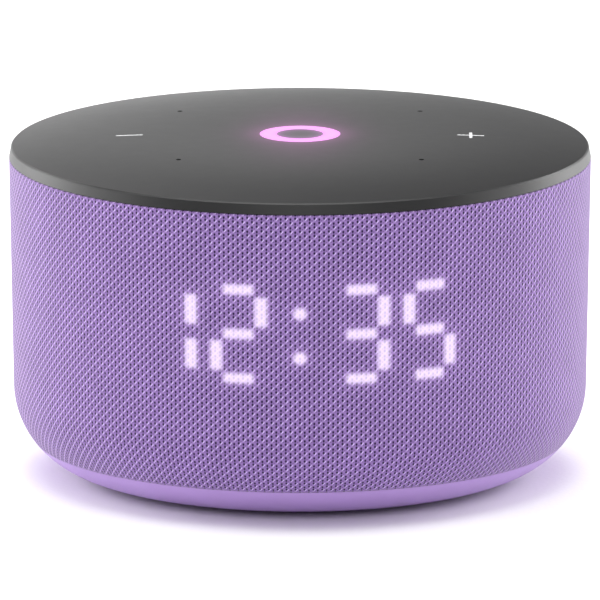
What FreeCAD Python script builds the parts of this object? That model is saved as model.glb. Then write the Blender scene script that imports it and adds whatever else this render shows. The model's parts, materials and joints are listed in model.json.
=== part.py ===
import FreeCAD, Part

import math
import os

# Round smart speaker with a clock display behind its cloth sleeve.
#
# Millimetres, +Z up. The origin is the centre of the foot ring on the table. The display looks along -Y.
# The power inlet and the microphone button are at the back, on +Y. Each function listed in PARTS makes one
# sub-part, and its name is the node's.

Vector = FreeCAD.Vector
UP = Vector(0, 0, 1)
BACK = Vector(0, 1, 0)
RIGHT = Vector(1, 0, 0)

# ---- Driving sizes of the outside ----
body_radius = 57.45  # at the top of the sleeve
side_draft = 0.83  # how much narrower the straight side is where it meets the bottom corner
foot_height = 0.8  # how far the foot ring lifts the base
corner_height = 17.3  # of the rounded bottom corner
corner_width = 17.6
sleeve_top = 63.5
sleeve_bottom = 7.2  # where the sleeve meets the smooth base
sleeve_thickness = 0.7
sleeve_gap = 0.05  # between the sleeve and the grille behind it
hem_thickness = 0.25  # the sleeve's edge, turned in over the grille's rim

# ---- Walls and general clearances ----
grille_wall = 2.0
base_wall = 2.2
base_lip_wall = 1.5  # of the lip that plugs into the grille
base_lip_height = 2.4
fit_gap = 0.15  # between mouldings that drop into each other
screw_gap = 0.05  # round a screw's shank
glue_gap = 0.02  # film of glue or a light push between curved faces
cutter_reach = 1.05  # of the body's radius, so that a cutter passes the whole wall
lip_rise = 0.1  # of the lip's foot above the floor of the hollow inside it

# ---- Top panel ----
panel_gap = 0.12  # shadow line between sleeve and panel
panel_edge_inset = 0.62  # of the rim's upper edge: the rim leans in slightly
panel_edge_height = 2.2  # of the upright rim
panel_chamfer = 0.25
panel_thickness = 2.0
dome_rise = 2.2
dome_power = 3.9  # how late the dome falls away towards its edge
skirt_gap = 0.45  # between the skirt and the grille
skirt_wall = 1.4
control_radius = 33.7  # circle of the microphone holes and the two volume marks
mic_hole_radius = 0.55
ring_outer_radius = 7.95
ring_inner_radius = 4.6
lens_thickness = 2.6
mark_length = 5.3
mark_width = 0.6
mark_depth = 0.3

# ---- Boards under the panel ----
board_thickness = 1.2
board_radius = 50.2
board_rise = 0.6  # of the board above the chassis's rim
board_post_radius = 3.0
board_post_circle = 45.5
board_post_turn = 22.5  # keeps the posts clear of the ribbons
mic_size = (3.5, 2.7, 1.0)
gasket_radius = 2.6
led_count = 8
led_size = (1.6, 0.8, 0.6)
led_circle = 6.3
shield_size = (34.0, 26.0, 2.2)
shield_wall = 0.25
touch_spring_radius = 2.6
touch_spring_wire = 0.35
touch_spring_turns = 4

# ---- Chassis, with the cone that spreads the sound ----
chassis_rim_drop = 2.9  # of the rim below the sleeve's top
chassis_rim_height = 1.8
chassis_rim_width = 3.0
chassis_depth = 4.4
chassis_plate_thickness = 1.6
chassis_wall = 1.5
spreader_radius = 22.0
spreader_tip_radius = 1.5
spreader_height = 5.5
ledge_height = 1.3
leg_radius = 3.4
leg_inset = 6.0  # of the box's screw bosses from its wall

# ---- Speaker box ----
box_room = 13.45  # between the body's side and the box
box_wall = 2.0
box_bottom = 19.0
box_top = 44.5
lid_thickness = 2.4
seal_thickness = 0.6
base_leg_radius = 2.9

# ---- Driver, which looks up ----
flange_radius = 30.0
flange_thickness = 1.0
flange_screw_circle = 27.6
driver_hole_radius = 24.2
basket_lip = 0.9  # how far the surround laps on to the basket and the cone
basket_floor = 35.0
basket_wall = 0.8
pole_radius = 6.0
coil_gap = 0.35  # between the coil and the steel on each side
former_wall = 0.15
winding_wall = 0.3
front_plate_thickness = 1.5
magnet_radius = 15.0
magnet_thickness = 5.0
yoke_thickness = 2.5
cone_neck_height = 40.0
cone_rim_radius = 18.6
cone_wall = 0.45
roll_width = 4.5
roll_rise = 1.6
roll_wall = 0.4
spider_height = 38.2
spider_wall = 0.3
spider_rim_radius = 17.2
spider_lip = 1.2  # flat ring at each edge of the spider, which is glued down
spider_wave = 0.45
dust_cap_radius = 9.2
dust_cap_rise = 3.0

# ---- Passive radiator, which looks down ----
passive_hole_radius = 24.5
passive_frame_radius = 29.8
passive_frame_thickness = 1.6
passive_plate_radius = 18.5
passive_plate_thickness = 1.6
passive_roll_width = 3.8
passive_roll_rise = 1.8
passive_lip = 1.1

# ---- Display ----
display_half_angle = 36.5
display_rail_angle = 2.0  # of the two uprights that the backing plate closes against
display_bottom = 27.6
display_top = 51.6
mask_depth = 5.0
flex_thickness = 0.6
holder_wall = 1.5
digit_inner_angle = 12.2  # from the middle to the centre of an inner digit
digit_pitch_angle = 14.25
digit_half_angle = 4.5  # from a digit's centre to its upright bars
digit_middle = 39.6
digit_half_height = 8.87
bar_upright = (2.4, 6.0)
bar_level = (5.7, 2.1)
colon_radius = 1.25
colon_rise = 4.45
lens_gap = 0.05
digits_shown = ("1", "2", "3", "5")
BARS_OF = {"1": "bc", "2": "abged", "3": "abgcd", "5": "afgcd"}

# ---- Sound slots in the grille ----
slot_width = 3.2
slot_pitch_angle = 9.0
slot_rows = ((24.0, 38.5), (41.5, 55.5))
slot_free_angle = 44.0  # from the middle of the display

# ---- Back inlet panel, power inlet and microphone button ----
port_width = 34.0
port_top = 21.0
port_corner = 4.0
io_board_bottom = 11.2
io_board_size = (30.0, 16.0)
io_board_inset = 6.9  # of the board's back edge from the inlet's mouth
io_tongue_half = 6.5  # half the width of the board's tongue under the inlet
io_tongue_inset = 3.2
io_socket_inset = 7.4
usb_size = (8.94, 7.4, 3.26)
usb_wall = 0.3
usb_mouth_inset = 2.2  # from the body's side
usb_hole_gap = 0.3
tongue_size = (6.7, 4.6, 0.7)
button_offset = 11.0
button_radius = 2.5
button_gap = 0.15
button_guide_wall = 0.9
button_face_inset = 1.1
button_flange_radius = 3.2
button_flange_thickness = 0.9
button_length = 6.1
button_travel = 0.6
switch_size = (6.0, 3.5, 4.2)
plunger_radius = 1.1
plunger_gap = 0.05

# ---- Foot ring and screws ----
foot_inset = 2.3  # from the edge of the flat underside
foot_width = 6.4
foot_seat_depth = 1.2
screw_shank_radius = 1.1
screw_head_radius = 2.0
screw_head_height = 1.1
screw_length = 9.0

# ---- Wires and ribbons ----
ribbon_thickness = 0.3
ribbon_bend = 1.6
ribbon_slot = 4.4  # across each slot in the chassis
ribbon_gap = 0.6  # from the box's wall to each slot
ribbon_end = 39.0  # where both ribbons end under the main board
ribbon_depth = 0.8  # below the main board
display_ribbon_width = 8.0
io_ribbon_width = 10.0
wire_radius = 0.6
wire_bend = 3.0
wire_exit = 35.0  # where the leads turn up, measured from the middle

# ---- Heights that follow from the sizes above ----
through = cutter_reach * body_radius
waist_radius = body_radius - side_draft
flat_radius = waist_radius - corner_width
panel_edge_radius = body_radius - panel_edge_inset
base_bottom = foot_height
foot_outer_radius = flat_radius - foot_inset
foot_inner_radius = foot_outer_radius - foot_width
base_leg_circle = (foot_outer_radius + foot_inner_radius) / 2
box_radius = body_radius - box_room
leg_circle = box_radius - leg_inset
usb_mouth = waist_radius - usb_mouth_inset
io_board_back = usb_mouth - io_board_inset
io_tongue_back = usb_mouth - io_tongue_inset
button_face = waist_radius - button_face_inset
button_flange_front = button_face - button_length
corner_top = base_bottom + corner_height
grille_inset = sleeve_thickness + sleeve_gap
inner_inset = grille_inset + grille_wall
skirt_radius = body_radius - inner_inset - skirt_gap
chassis_rim_top = sleeve_top - chassis_rim_drop
chassis_plate_bottom = chassis_rim_top - chassis_depth
board_bottom = chassis_rim_top + board_rise
grille_top = sleeve_top - hem_thickness - sleeve_gap
panel_bottom = sleeve_top + panel_gap
panel_edge = panel_bottom + panel_edge_height
board_top = board_bottom + board_thickness
plate_top = chassis_plate_bottom + chassis_plate_thickness
coil_inner_radius = pole_radius + coil_gap
coil_outer_radius = coil_inner_radius + former_wall + winding_wall
gap_radius = coil_outer_radius + coil_gap
cone_rim_height = box_top + flange_thickness
basket_mouth_radius = cone_rim_radius + roll_width
basket_throat_radius = spider_rim_radius - spider_lip + 0.1
mask_back_radius = body_radius - grille_inset - mask_depth
holder_radius = mask_back_radius - flex_thickness
magnet_top = basket_floor - front_plate_thickness
magnet_bottom = magnet_top - magnet_thickness
cone_neck_radius = coil_inner_radius + former_wall + glue_gap
port_middle = io_board_bottom + board_thickness + usb_size[2] / 2


# ---- Helpers ----
def ring(outer, inner, bottom, top):
    """An upright ring about the Z axis, or a disc where inner is 0."""
    made = Part.makeCylinder(outer, top - bottom, Vector(0, 0, bottom))
    if inner:
        made = made.cut(Part.makeCylinder(inner, top - bottom, Vector(0, 0, bottom)))
    return made


def join(first, *others):
    made = first.fuse(list(others))
    return made.removeSplitter()


def slab(bottom, top):
    side = 4 * body_radius
    return Part.makeBox(side, side, top - bottom, Vector(-side / 2, -side / 2, bottom))


def turned(outline):
    """The solid made by turning a closed outline of (radius, height) corners about Z."""
    corners = [Vector(r, 0, z) for r, z in outline]
    wire = Part.makePolygon(corners + corners[:1])
    return Part.Face(wire).revolve(Vector(), UP, 360)


def turned_sheet(edges, thickness):
    """A thin closed sheet: a run of edges in the XZ plane, copied down by thickness and turned about Z."""
    lower = [e.translated(Vector(0, 0, -thickness)) for e in edges]
    first, last = edges[0].Vertexes[0].Point, edges[-1].Vertexes[-1].Point
    drop = Vector(0, 0, -thickness)
    sides = [Part.makeLine(first, first + drop), Part.makeLine(last, last + drop)]
    wire = Part.Wire(Part.__sortEdges__(edges + lower + sides))
    return Part.Face(wire).revolve(Vector(), UP, 360)


def polar(radius, angle, height=0.0):
    """A point at an angle, in degrees, from the front (-Y) towards +X."""
    turn = math.radians(angle)
    return Vector(radius * math.sin(turn), -radius * math.cos(turn), height)


def diagonals(circle):
    """Four places on a circle, between the front, the sides and the back."""
    return [polar(circle, quarter * 90 + 45) for quarter in range(4)]


def body_solid(inset):
    """The body's outer form, moved in by inset: flat underside, rounded corner, slightly drafted side."""
    low = Vector(flat_radius, 0, base_bottom + inset)
    waist = Vector(waist_radius - inset, 0, corner_top)
    top_edge = Vector(body_radius - inset, 0, sleeve_top)
    axis_top, axis_low = Vector(0, 0, sleeve_top), Vector(0, 0, low.z)
    edges = [
        Part.makeLine(axis_low, low),
        quarter_ellipse(low, waist),
        Part.makeLine(waist, top_edge),
        Part.makeLine(top_edge, axis_top),
        Part.makeLine(axis_top, axis_low),
    ]
    return Part.Face(Part.Wire(Part.__sortEdges__(edges))).revolve(Vector(), UP, 360)


def quarter_ellipse(low, side):
    """The rounded corner: level where it starts at low, upright where it reaches side."""
    centre = Vector(low.x, 0, side.z)
    across, tall = side.x - low.x, side.z - low.z
    if abs(across - tall) < 1e-6:
        turn = math.sqrt(0.5)
        return Part.Arc(low, centre + Vector(across * turn, 0, -tall * turn), side).toShape()
    major, minor = (side, low) if across > tall else (low, side)
    curve = Part.Ellipse(major, minor, centre)
    first, last = sorted((curve.parameter(low), curve.parameter(side)))
    if last - first > math.pi:
        first, last = last, first + 2 * math.pi
    return Part.Arc(curve, first, last).toShape()


def wall_between(outer, inner, bottom, top):
    """A wall of the body from one inset in to another, between two heights."""
    return body_solid(outer).cut(body_solid(inner)).common(slab(bottom, top))


def wedge(radius, half_angle, bottom, top):
    """A sector of a cylinder, centred on the front."""
    made = Part.makeCylinder(radius, top - bottom, Vector(0, 0, bottom), UP, 2 * half_angle)
    made.rotate(Vector(), UP, -90 - half_angle)
    return made


def round_bar(width, height, depth):
    """A bar with round ends, standing in XZ and pushed along +Y from 0, centred on the origin."""
    radius = min(width, height) / 2
    along = RIGHT if width > height else UP
    reach = max(width, height) / 2 - radius
    made = Part.makeCylinder(radius, depth, along * reach, BACK)
    if reach > 1e-6:
        other = Part.makeCylinder(radius, depth, along * -reach, BACK)
        wide = 2 * (reach if width > height else radius)
        tall = 2 * (radius if width > height else reach)
        made = join(made, other, Part.makeBox(wide, depth, tall, Vector(-wide / 2, 0, -tall / 2)))
    return made


def facing(shape, radius, angle, height):
    """Moves a piece built at the origin so that it looks out at an angle from the front."""
    shape = shape.copy()
    shape.rotate(Vector(), UP, angle)
    shape.translate(polar(radius, angle, height))
    return shape


def rounded_path(points, bend):
    """Straight runs through the points, joined by tangent arcs of radius bend."""
    edges, at = [], points[0]
    for before, corner, after in zip(points, points[1:], points[2:]):
        into = (corner - before).normalize()
        out = (after - corner).normalize()
        half = into.getAngle(out) / 2
        cut = bend * math.tan(half)
        start, end = corner - into * cut, corner + out * cut
        towards = (out - into).normalize()
        middle = corner + towards * (bend / math.cos(half) - bend)
        edges.append(Part.makeLine(at, start))
        edges.append(Part.Arc(start, middle, end).toShape())
        at = end
    edges.append(Part.makeLine(at, points[-1]))
    return Part.Wire(edges)


def ribbon(points, width):
    """A flat cable that runs in the YZ plane."""
    path = rounded_path(points, ribbon_bend)
    along = (points[1] - points[0]).normalize()
    side, across = RIGHT * (width / 2), along.cross(RIGHT) * (ribbon_thickness / 2)
    at = points[0]
    corners = [at + side + across, at - side + across, at - side - across, at + side - across]
    profile = Part.makePolygon(corners + corners[:1])
    return path.makePipeShell([profile], True, False)


def screw(place, head_side, tip_side):
    """A pan-head screw at place; head_side is the height under its head, and it points to tip_side."""
    down = -1 if tip_side < head_side else 1
    seat = Vector(place.x, place.y, head_side)
    shank = Part.makeCylinder(screw_shank_radius, abs(tip_side - head_side), seat, UP * down)
    head = Part.makeCylinder(screw_head_radius, screw_head_height, seat, UP * -down)
    slot_side, slot_depth = 0.5, 0.5
    top = seat + UP * (-down * (screw_head_height - slot_depth))
    cuts = []
    for wide, deep in ((2.2, slot_side), (slot_side, 2.2)):
        corner = Vector(top.x - wide / 2, top.y - deep / 2, min(top.z, top.z - down * slot_depth))
        cuts.append(Part.makeBox(wide, deep, slot_depth, corner))
    return join(shank, head).cut(cuts)


def screw_hole(place, bottom, top, radius=screw_shank_radius + screw_gap):
    return Part.makeCylinder(radius, top - bottom, Vector(place.x, place.y, bottom))


# ---- Outside ----
def foot_ring():
    return ring(foot_outer_radius, foot_inner_radius, 0, foot_height + foot_seat_depth)


def base_cup():
    """The smooth lower shell: the visible band, a floor, and a lip that plugs into the grille."""
    floor_top = base_bottom + base_wall
    band = wall_between(0, base_wall, base_bottom, sleeve_bottom)
    lip_outer = inner_inset + fit_gap
    lip_inner = lip_outer + base_lip_wall
    lip_bottom = base_bottom + lip_inner + lip_rise
    lip = wall_between(lip_outer, lip_inner, lip_bottom, sleeve_bottom + base_lip_height)
    under_lip = wall_between(base_wall - 0.2, lip_inner, lip_bottom, sleeve_bottom)
    inside = body_solid(0).common(slab(base_bottom, floor_top))
    made = join(band, inside, under_lip, lip)
    seat_top = base_bottom + foot_seat_depth
    made = made.cut(ring(foot_outer_radius + fit_gap, foot_inner_radius - fit_gap, base_bottom, seat_top))
    pads = [ring_at(p, base_leg_radius + 1.2, seat_top, base_leg_foot()) for p in base_legs()]
    made = join(made, *pads)
    for place in base_legs():
        head_top = base_screw_seat()
        made = made.cut(screw_hole(place, 0, head_top, screw_head_radius + fit_gap))
        made = made.cut(screw_hole(place, 0, base_leg_foot()))
    for post in io_posts():
        made = join(made, ring_at(post, 2.2, floor_top - 0.1, io_board_bottom))
    return made


def ring_at(place, radius, bottom, top):
    return Part.makeCylinder(radius, top - bottom, Vector(place.x, place.y, bottom))


def base_legs():
    return diagonals(base_leg_circle)


def base_leg_foot():
    return base_bottom + base_wall + 1.5


def base_screw_seat():
    return base_bottom + foot_seat_depth + screw_head_height + 0.2


def base_screws():
    made = [screw(p, base_screw_seat(), base_screw_seat() + screw_length) for p in base_legs()]
    return Part.makeCompound(made)


def port_cutter(gap):
    """The round-cornered window at the back that the inlet panel fills, opened by gap."""
    wide, tall = port_width + 2 * gap, port_top + gap
    block = Part.makeBox(wide, through, tall, Vector(-wide / 2, 0, 0))
    top_edges = [e for e in block.Edges if e.BoundBox.ZMin > tall - 1e-3]
    corners = [e for e in top_edges if e.BoundBox.YLength > through / 2]
    return block.makeFillet(port_corner + gap, corners)


def fabric_sleeve():
    wall = wall_between(0, sleeve_thickness, sleeve_bottom + sleeve_gap, sleeve_top)
    hem_inner = body_radius - inner_inset + fit_gap
    hem = ring(body_radius - sleeve_thickness / 2, hem_inner, sleeve_top - hem_thickness, sleeve_top)
    return join(wall, hem).cut(port_cutter(fit_gap))


def grille_shell():
    """The moulded body behind the sleeve: sound slots, a window for the display and one for the inlet."""
    wall = wall_between(grille_inset, inner_inset, sleeve_bottom, grille_top)
    ledge_top = chassis_rim_top - chassis_rim_height
    ledge = ring(body_radius - inner_inset + 0.3, skirt_radius - 1.4, ledge_top - ledge_height, ledge_top)
    window = wedge(through, display_half_angle, display_bottom - fit_gap, display_top + fit_gap)
    rail_outer = body_radius - inner_inset + 0.5
    rails = curved_plate(rail_outer, holder_radius, rail_angle(), display_bottom, display_top)
    made = join(wall, ledge, rails.cut(window))
    cutters = [port_cutter(fit_gap), window]
    count = round((180 - slot_free_angle) / slot_pitch_angle)
    for low, high in slot_rows:
        bar = round_bar(slot_width, high - low, grille_wall * 6)
        for step in range(-count, count + 1):
            angle = 180 + step * slot_pitch_angle
            over_port = abs(step * slot_pitch_angle) < 22 and low < port_top + 4
            if not over_port:
                cutters.append(facing(bar, body_radius + grille_wall * 2, angle, (low + high) / 2))
    return made.cut(cutters)


def port_panel():
    """The smooth inlet panel, which carries on from the base up the back."""
    wall = wall_between(0, inner_inset, sleeve_bottom, port_top).common(port_cutter(0))
    guide_start = button_place(button_flange_front + button_gap)
    guide_radius = button_radius + button_gap + button_guide_wall
    guide = Part.makeCylinder(guide_radius, through, guide_start, BACK)
    wall = join(wall, guide.common(body_solid(grille_inset)))
    usb_wide = usb_size[0] + 2 * usb_hole_gap
    usb_tall = usb_size[2] + 2 * usb_hole_gap
    usb_hole = round_bar(usb_wide, usb_tall, through)
    usb_hole.translate(Vector(0, 0, port_middle))
    button_hole = Part.makeCylinder(button_radius + button_gap, through, button_place(0), BACK)
    return wall.cut([usb_hole, button_hole])


def button_place(depth):
    return Vector(button_offset, depth, port_middle)


def mute_button():
    """A round cap with a flange that stops it behind the panel."""
    length = button_face - button_flange_front
    cap = Part.makeCylinder(button_radius, length, button_place(button_flange_front), BACK)
    rim = cap.Edges[0] if cap.Edges[0].BoundBox.YMax > button_face - 1e-3 else cap.Edges[2]
    cap = cap.makeFillet(0.35, [rim])
    flange_back = button_place(plunger_tip())
    flange = Part.makeCylinder(button_flange_radius, button_flange_thickness, flange_back, BACK)
    return join(cap, flange)


def plunger_tip():
    return button_flange_front - button_flange_thickness


def mute_plunger():
    length = 3.0
    return Part.makeCylinder(plunger_radius, length, button_place(plunger_tip() - length), BACK)


def mute_switch():
    """The push switch that the button presses, lying on the inlet board."""
    wide, deep, tall = switch_size
    front = plunger_tip() - button_travel - 0.5
    corner = Vector(button_offset - wide / 2, front - deep, io_board_bottom + board_thickness)
    block = Part.makeBox(wide, deep, tall, corner)
    bore_end = button_place(front - deep + 0.5)
    bore = Part.makeCylinder(plunger_radius + plunger_gap, deep - 0.5, bore_end, BACK)
    return block.cut(bore)


# ---- Inlet board ----
def io_posts():
    return [Vector(side * 11.5, io_board_back - 13.0, 0) for side in (-1, 1)]


def io_board():
    wide, deep = io_board_size
    corner = Vector(-wide / 2, io_board_back - deep, io_board_bottom)
    plate = Part.makeBox(wide, deep, board_thickness, corner)
    length = io_tongue_back - io_board_back + 1
    corner = Vector(-io_tongue_half, io_board_back - 1, io_board_bottom)
    return join(plate, Part.makeBox(2 * io_tongue_half, length, board_thickness, corner))


def usb_receptacle():
    """The metal shell of the power inlet, a flat oval tube closed at its back."""
    wide, deep, tall = usb_size
    outer = round_bar(wide, tall, deep)
    inner = round_bar(wide - 2 * usb_wall, tall - 2 * usb_wall, deep)
    inner.translate(Vector(0, 0.8, 0))
    made = outer.cut(inner)
    made.translate(Vector(0, usb_mouth - deep, port_middle))
    return made


def usb_tongue():
    wide, deep, tall = tongue_size
    start = usb_mouth - usb_size[1] + 0.8
    return Part.makeBox(wide, deep, tall, Vector(-wide / 2, start, port_middle - tall / 2))


def io_components():
    """Two capacitors, a coil and a converter chip."""
    top = io_board_bottom + board_thickness
    front = io_board_back - io_board_size[1]
    cans = [Part.makeCylinder(1.9, 4.4, Vector(x, front + 2.3, top)) for x in (-11.5, -6.8)]
    coil = Part.makeBox(3.6, 3.6, 2.4, Vector(2.5, front + 0.4, top))
    chip = Part.makeBox(4.0, 4.0, 0.9, Vector(-12.5, front + 9.5, top))
    return Part.makeCompound([*cans, coil, chip])


# ---- Top panel and its lights and marks ----
def dome_height(radius):
    return panel_edge + dome_rise * (1 - (radius / panel_edge_radius) ** dome_power)


def dome_solid(lowered, reach):
    """Everything under the dome, lowered by a distance, out to a radius and down to the sleeve's top."""
    steps = 8
    radii = [reach * i / steps for i in range(steps + 1)]
    curve_points = [Vector(r, 0, dome_height(r) - lowered) for r in radii]
    curve = Part.BSplineCurve()
    curve.interpolate(Points=curve_points, InitialTangent=RIGHT, FinalTangent=dome_slope(reach))
    edge_top, centre_top = curve_points[-1], curve_points[0]
    edge_low, centre_low = Vector(reach, 0, board_top), Vector(0, 0, board_top)
    edges = [
        curve.toShape(),
        Part.makeLine(edge_top, edge_low),
        Part.makeLine(edge_low, centre_low),
        Part.makeLine(centre_low, centre_top),
    ]
    return Part.Face(Part.Wire(Part.__sortEdges__(edges))).revolve(Vector(), UP, 360)


def dome_slope(radius):
    fall = dome_rise * dome_power * radius ** (dome_power - 1) / panel_edge_radius**dome_power
    return Vector(1, 0, -fall)


def panel_rim():
    """The upright rim's outline: a slight slope, and a small chamfer where it meets the dome."""
    chamfer = panel_chamfer
    return turned(
        [
            (0, panel_bottom),
            (body_radius, panel_bottom),
            (panel_edge_radius + chamfer, panel_edge - chamfer),
            (panel_edge_radius, panel_edge),
            (0, panel_edge),
        ]
    )


def mark_bars(which):
    """The bars of a volume mark, as cutters that pass the whole panel: one for minus, two for plus."""
    side = 1 if which == "plus" else -1
    bars = [(mark_length, mark_width)]
    if which == "plus":
        bars.append((mark_width, mark_length))
    made = []
    for wide, deep in bars:
        corner = Vector(side * control_radius - wide / 2, -deep / 2, board_top)
        made.append(Part.makeBox(wide, deep, 10, corner))
    return made[0] if len(made) == 1 else join(*made)


def mark(which):
    skin = dome_solid(0, panel_edge_radius).cut(dome_solid(mark_depth, panel_edge_radius))
    return mark_bars(which).common(skin)


def panel_hollow():
    """The room under the panel, inside its skirt."""
    return dome_solid(panel_thickness, skirt_radius - skirt_wall)


def top_panel():
    """The domed touch panel: a rim, a skirt, microphone holes and a hole for the lit ring."""
    dome = dome_solid(0, panel_edge_radius).common(slab(panel_edge - 0.5, panel_edge + 10))
    made = join(dome, panel_rim()).cut(panel_hollow())
    skirt = ring(skirt_radius, skirt_radius - skirt_wall, chassis_rim_top, panel_bottom)
    made = join(made, skirt)
    cutters = [Part.makeCylinder(ring_outer_radius, 20, Vector(0, 0, board_top))]
    for place in diagonals(control_radius):
        cutters.append(screw_hole(place, board_top, board_top + 20, mic_hole_radius))
    cutters += [mark("minus"), mark("plus")]
    return made.cut(cutters)


def minus_mark():
    return mark("minus")


def plus_mark():
    return mark("plus")


def light_ring():
    """The ring's lens: a clear puck whose upright rim comes flush with the dome."""
    outer = Part.makeCylinder(ring_outer_radius, 20, Vector(0, 0, board_top))
    top = dome_solid(0, panel_edge_radius)
    puck = outer.common(top).cut(slab(0, dome_height(0) - lens_thickness))
    well = ring(ring_inner_radius, 0, dome_height(0) - centre_cap_thickness(), dome_height(0) + 1)
    flange_top = dome_height(ring_outer_radius) - panel_thickness - fit_gap
    flange = ring(ring_outer_radius + 1.6, 0, dome_height(0) - lens_thickness, flange_top)
    return join(puck.cut(well), flange)


def centre_cap_thickness():
    return lens_thickness / 2


def ring_centre():
    """The dark disc inside the lit ring."""
    disc = ring(ring_inner_radius, 0, dome_height(0) - centre_cap_thickness(), dome_height(0) + 1)
    return disc.common(dome_solid(0, panel_edge_radius))


# ---- Main board ----
def board_posts():
    return [polar(board_post_circle, 90 * quarter + board_post_turn) for quarter in range(4)]


def main_board():
    made = ring(board_radius, 0, board_bottom, board_top)
    notch_width = display_ribbon_width + 3
    corner = Vector(-notch_width / 2, -board_radius - 1, board_bottom - 1)
    notch = Part.makeBox(notch_width, 4, 4, corner)
    holes = [screw_hole(p, board_bottom - 1, board_top + 1) for p in board_posts()]
    return made.cut([notch, *holes])


def microphones():
    wide, deep, tall = mic_size
    made = []
    for place in diagonals(control_radius):
        block = Part.makeBox(wide, deep, tall, Vector(place.x - wide / 2, place.y - deep / 2, board_top))
        made.append(block.cut(screw_hole(place, board_top + tall / 2, board_top + tall, 0.35)))
    return Part.makeCompound(made)


def mic_gaskets():
    """Soft sleeves that lead each microphone hole down to its capsule."""
    bottom = board_top + mic_size[2]
    ceiling = panel_hollow()
    ceiling.translate(Vector(0, 0, -glue_gap))
    made = []
    for place in diagonals(control_radius):
        column = screw_hole(place, bottom, bottom + 10, gasket_radius).common(ceiling)
        made.append(column.cut(screw_hole(place, bottom, bottom + 10, mic_hole_radius + 0.2)))
    return Part.makeCompound(made)


def ring_leds():
    wide, deep, tall = led_size
    made = []
    for step in range(led_count):
        angle = 360 / led_count * (step + 0.5)
        block = Part.makeBox(wide, deep, tall, Vector(-wide / 2, -deep / 2, 0))
        made.append(facing(block, led_circle, angle, board_top))
    return Part.makeCompound(made)


def light_well():
    """An opaque tube that keeps the ring's light under its lens."""
    top = dome_height(0) - lens_thickness - 0.1
    made = ring(ring_outer_radius + 1.6, ring_outer_radius + 0.4, board_top, top)
    core = ring(ring_inner_radius - 0.6, 0, board_top, top)
    return Part.makeCompound([made, core])


def touch_springs():
    """A coiled contact under each volume mark, which carries the touch signal to the board."""
    wire = touch_spring_wire
    ceiling = dome_height(control_radius + touch_spring_radius + wire) - panel_thickness
    height = ceiling - board_top - 2 * wire
    made = []
    for side in (-1, 1):
        centre = Vector(side * control_radius, 0, board_top + wire)
        path = Part.makeHelix(height / touch_spring_turns, height, touch_spring_radius)
        path.translate(centre)
        start = centre + RIGHT * touch_spring_radius
        section = Part.Wire(Part.makeCircle(wire, start, BACK))
        made.append(Part.Wire(path.Edges).makePipeShell([section], True, True))
    return Part.makeCompound(made)


def shield_can():
    """A pressed metal lid over the processor, open towards the board."""
    wide, deep, tall = shield_size
    outer = Part.makeBox(wide, deep, tall, Vector(-wide / 2, -deep / 2, board_bottom - tall))
    corner = Vector(shield_wall - wide / 2, shield_wall - deep / 2, board_bottom - tall + shield_wall)
    inner = Part.makeBox(wide - 2 * shield_wall, deep - 2 * shield_wall, tall, corner)
    return outer.cut(inner)


def processor_chips():
    sizes = ((12.0, 12.0, -11.0, -6.0), (9.0, 11.0, 4.5, -5.5))
    made = [Part.makeBox(w, d, 1.0, Vector(x, y, board_bottom - 1.0)) for w, d, x, y in sizes]
    return Part.makeCompound(made)


def board_screws():
    return Part.makeCompound([screw(p, board_top, board_top - 4.5) for p in board_posts()])


# ---- Chassis ----
def chassis():
    """The plate that carries the main board; the cone under it turns the driver's sound outwards."""
    rim_inner = skirt_radius - chassis_rim_width
    rim = ring(skirt_radius, rim_inner, chassis_rim_top - chassis_rim_height, chassis_rim_top)
    wall = ring(rim_inner + chassis_wall, rim_inner, chassis_plate_bottom, chassis_rim_top)
    plate = ring(rim_inner + chassis_wall, 0, chassis_plate_bottom, plate_top)
    tip = chassis_plate_bottom - spreader_height
    cone = Part.makeCone(spreader_tip_radius, spreader_radius, spreader_height, Vector(0, 0, tip))
    posts = [ring_at(p, board_post_radius, chassis_plate_bottom, board_bottom) for p in board_posts()]
    legs = [ring_at(p, leg_radius, box_top, chassis_plate_bottom + 0.1) for p in diagonals(leg_circle)]
    made = join(rim, wall, plate, cone, *posts, *legs)
    cutters = [screw_hole(p, plate_top, board_bottom) for p in board_posts()]
    cutters += [screw_hole(p, box_top - 1, plate_top + 1) for p in diagonals(leg_circle)]
    low, tall = chassis_plate_bottom - 1, chassis_plate_thickness + 2
    for side, ribbon_width in ((-1, display_ribbon_width), (1, io_ribbon_width)):
        wide = ribbon_width + 4
        near = box_radius + ribbon_gap
        near = near if side > 0 else -near - ribbon_slot
        cutters.append(Part.makeBox(wide, ribbon_slot, tall, Vector(-wide / 2, near, low)))
    cutters.append(Part.makeBox(5, 8, tall, Vector(wire_exit - 2.5, -4, low)))
    return made.cut(cutters)


def chassis_screws():
    depth = 8.0
    made = [screw(p, plate_top, box_top - depth + 2.0) for p in diagonals(leg_circle)]
    return Part.makeCompound(made)


# ---- Speaker box ----
def box_split():
    return box_top - lid_thickness - seal_thickness


def box_tub():
    """The lower part of the sealed box, on four legs, with the passive radiator's hole in its floor."""
    floor = box_bottom + box_wall
    made = ring(box_radius, box_radius - box_wall, box_bottom, box_split())
    plate = ring(box_radius, passive_hole_radius, box_bottom, floor)
    legs = [ring_at(p, base_leg_radius, base_leg_foot(), floor) for p in base_legs()]
    bosses = [ring_at(p, leg_radius, box_bottom, box_split()) for p in diagonals(leg_circle)]
    made = join(made, plate, *legs, *bosses)
    leg_tip = base_screw_seat() + screw_length + 0.5
    cutters = [screw_hole(p, base_leg_foot() - 1, leg_tip) for p in base_legs()]
    cutters += [screw_hole(p, box_top - 9.0, box_top) for p in diagonals(leg_circle)]
    return made.cut(cutters)


def box_seal():
    made = ring(box_radius - 0.2, box_radius - box_wall + 0.2, box_split(), box_split() + seal_thickness)
    return made


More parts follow.
